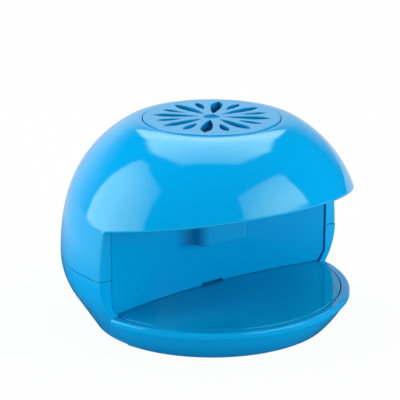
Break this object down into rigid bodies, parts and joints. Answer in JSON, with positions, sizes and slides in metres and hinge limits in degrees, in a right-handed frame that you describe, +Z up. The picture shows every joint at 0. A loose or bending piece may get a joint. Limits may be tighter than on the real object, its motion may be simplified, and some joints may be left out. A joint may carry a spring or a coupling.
{
  "type": "nail polish fan dryer",
  "caption": "Domed desktop fan dryer for nail polish: an open-fronted case with an air grille in its crown, a slotted outlet over the fingers and a press plate that starts the fan.",
  "frame": {"origin": "on the dome's axis, on the surface that the dryer stands on", "axes": "+Z up, -Y out of the open front, +X to the right seen from the front"},
  "size_m": [0.12, 0.1153, 0.0819],
  "materials": {
    "blue_shell": "glossy moulded plastic",
    "blue_plate": "mirror-smooth moulded plastic",
    "blue_lining": "satin moulded plastic",
    "white_plastic": "natural moulded plastic",
    "black_plastic": "fine textured plastic",
    "zinc_steel": "zinc plated sheet and screws",
    "spring_steel": "nickel plated wire and sheet",
    "brass": "tinned brass",
    "ferrite": "sintered magnet",
    "copper": "laminations with copper windings",
    "board": "paper laminate board",
    "red_sleeve": "soft insulation",
    "black_sleeve": "soft insulation",
    "cell_jacket": "plain printed sleeve without words"
  },
  "bodies": {
    "case": {"base_shell": "blue_shell", "top_shell": "blue_shell", "top_grille": "blue_shell", "cavity_wall": "blue_lining", "outlet_panel": "blue_lining", "motor_can": "zinc_steel", "motor_magnets": "ferrite", "motor_end_cap": "white_plastic", "motor_terminals": "brass", "motor_frame": "white_plastic", "plate_hinge_pin": "spring_steel", "plate_spring_left": "spring_steel", "plate_spring_right": "spring_steel", "circuit_board": "board", "board_screws": "zinc_steel", "switch_body": "black_plastic", "positive_contact": "spring_steel", "negative_contact": "spring_steel", "bridge_contact": "spring_steel", "case_screws": "zinc_steel", "frame_screws": "zinc_steel", "panel_screws": "zinc_steel", "red_lead": "red_sleeve", "black_lead": "black_sleeve", "switch_lead": "red_sleeve", "front_battery": "cell_jacket", "rear_battery": "cell_jacket"},
    "fan": {"motor_shaft": "spring_steel", "motor_armature": "copper", "fan_impeller": "white_plastic"},
    "plate": {"press_plate": "blue_plate"},
    "plunger": {"switch_plunger": "black_plastic"},
    "door": {"battery_door": "blue_shell"}
  },
  "joints": [
    {"name": "fan_spin", "type": "hinge", "parent": "case", "child": "fan", "pos_m": [0, 0, 0.05], "axis": [0, 0, 1], "continuous": true},
    {"name": "plate_press", "type": "hinge", "parent": "case", "child": "plate", "pos_m": [0, -0.0005, 0.0074], "axis": [1, 0, 0], "range_deg": [0, 1.8], "stiffness_Nm_per_rad": 0.73, "springref_deg": -2.29, "deforming": ["plate_spring_left", "plate_spring_right"]},
    {"name": "plunger_press", "type": "slide", "parent": "case", "child": "plunger", "axis": [0, 0, -1], "range_m": [0, 0.0009]},
    {"name": "door_swing", "type": "hinge", "parent": "case", "child": "door", "pos_m": [0, 0.0055, 0.0012], "axis": [-1, 0, 0], "range_deg": [0, 100]}
  ],
  "couplings": [
    {"joint": "plunger_press", "follows": "plate_press", "m_per_rad": 0.0245}
  ]
}
